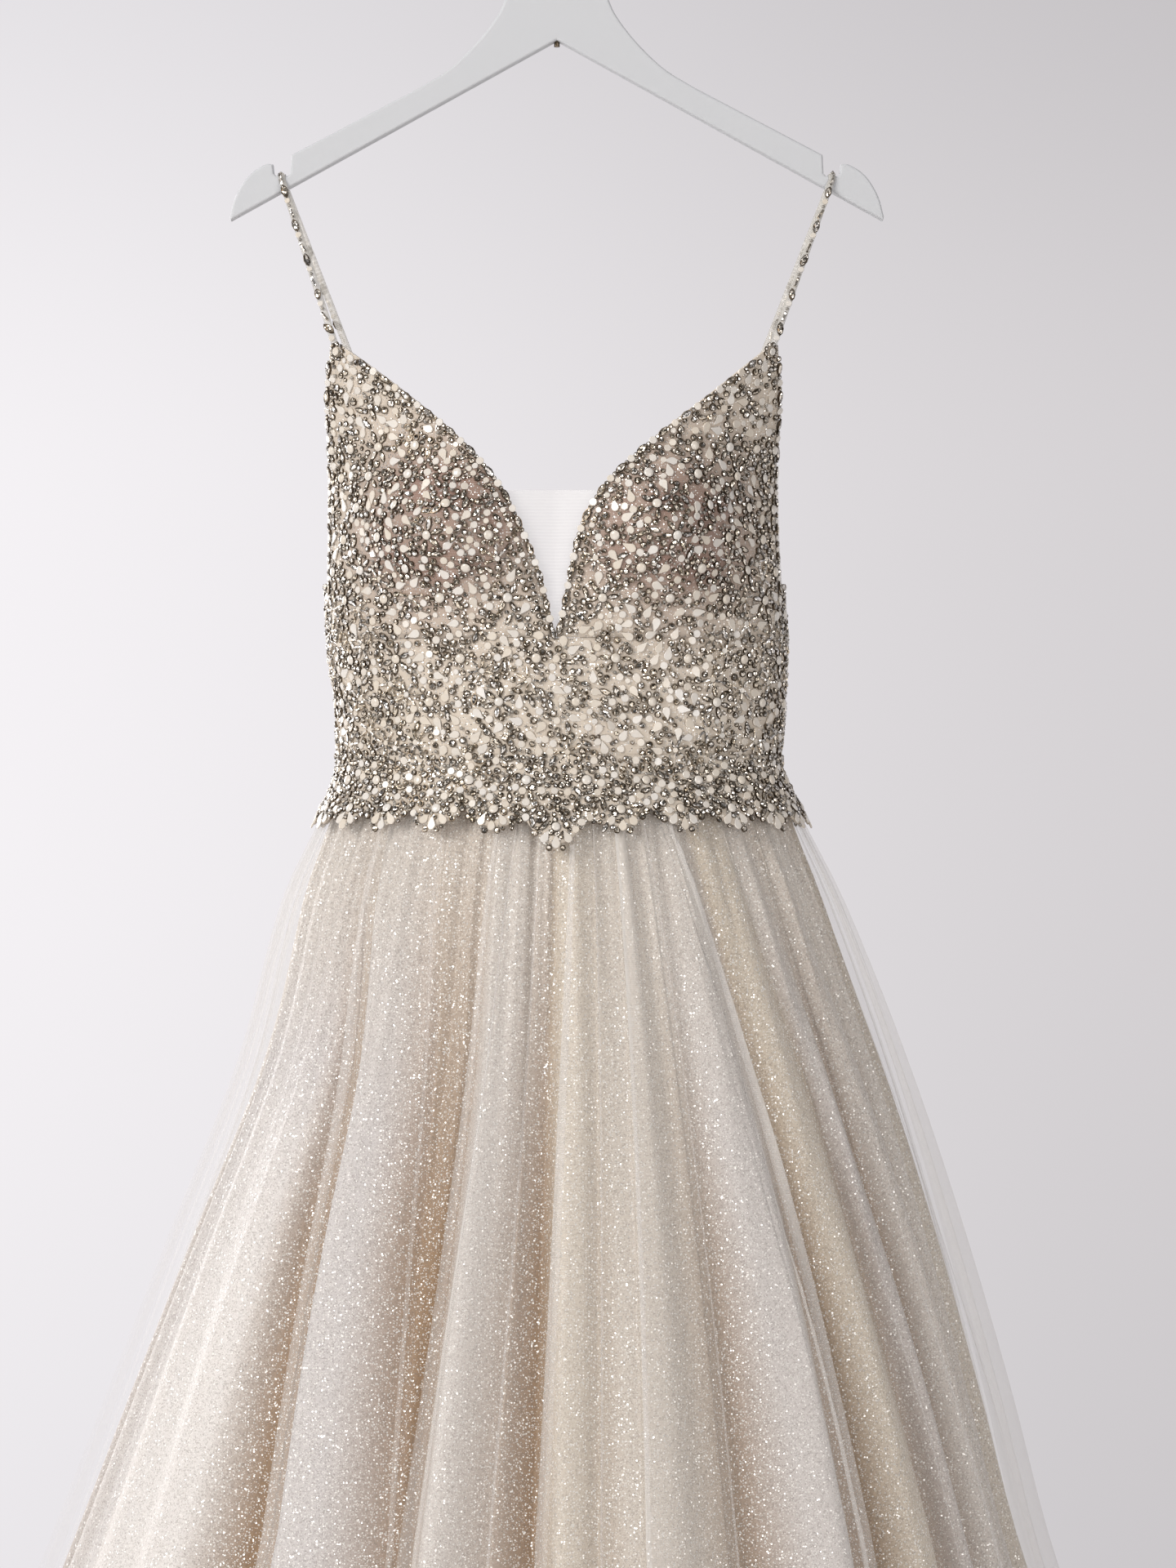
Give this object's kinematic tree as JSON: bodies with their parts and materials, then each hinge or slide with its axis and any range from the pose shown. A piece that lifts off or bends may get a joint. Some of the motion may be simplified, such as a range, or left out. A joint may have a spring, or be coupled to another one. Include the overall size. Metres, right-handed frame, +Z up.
{
  "type": "wedding dress on a hanger",
  "caption": "Sleeveless wedding dress with a beaded V-neck bodice, thin beaded straps and a layered gathered tulle skirt, hanging on a plain wooden hanger",
  "frame": {"origin": "the inside top of the hanger's hook, where a rail carries it", "axes": "+Z up along the dress, the front of the dress faces -Y, +X to the right in a front view"},
  "size_m": [1.0816, 0.7169, 1.714],
  "materials": {
    "beaded_bodice": "ivory and rose-beige tulle covered with clear and opal glass beads in antique silver settings",
    "beaded_strap": "narrow ivory ribbon with a row of glass beads",
    "fine_net": "very fine sheer net, nearly clear",
    "sheer_tulle": "plain sheer white tulle, gathered",
    "glitter_tulle": "tulle with fine silver glitter all over",
    "champagne_lining": "smooth champagne satin lining",
    "button_satin": "ivory satin covered buttons",
    "hanger_paint": "smooth pale grey paint on wood",
    "hook_steel": "plain steel wire"
  },
  "bodies": {
    "root": {"cup_left": "beaded_bodice", "cup_right": "beaded_bodice", "midriff": "beaded_bodice", "side_left": "beaded_bodice", "side_right": "beaded_bodice", "back_left": "beaded_bodice", "back_right": "beaded_bodice", "waist_edge_front": "beaded_bodice", "waist_edge_back": "beaded_bodice", "strap_left": "beaded_strap", "strap_right": "beaded_strap", "neck_inset": "fine_net", "side_inset_left": "fine_net", "side_inset_right": "fine_net", "skirt_tulle_front": "sheer_tulle", "skirt_tulle_back": "sheer_tulle", "skirt_glitter_front": "glitter_tulle", "skirt_glitter_back": "glitter_tulle", "skirt_lining_front": "champagne_lining", "skirt_lining_back": "champagne_lining", "button_1": "button_satin", "button_2": "button_satin", "button_3": "button_satin", "button_4": "button_satin", "button_5": "button_satin", "hanger_body": "hanger_paint", "hanger_hook": "hook_steel"}
  },
  "joints": []
}
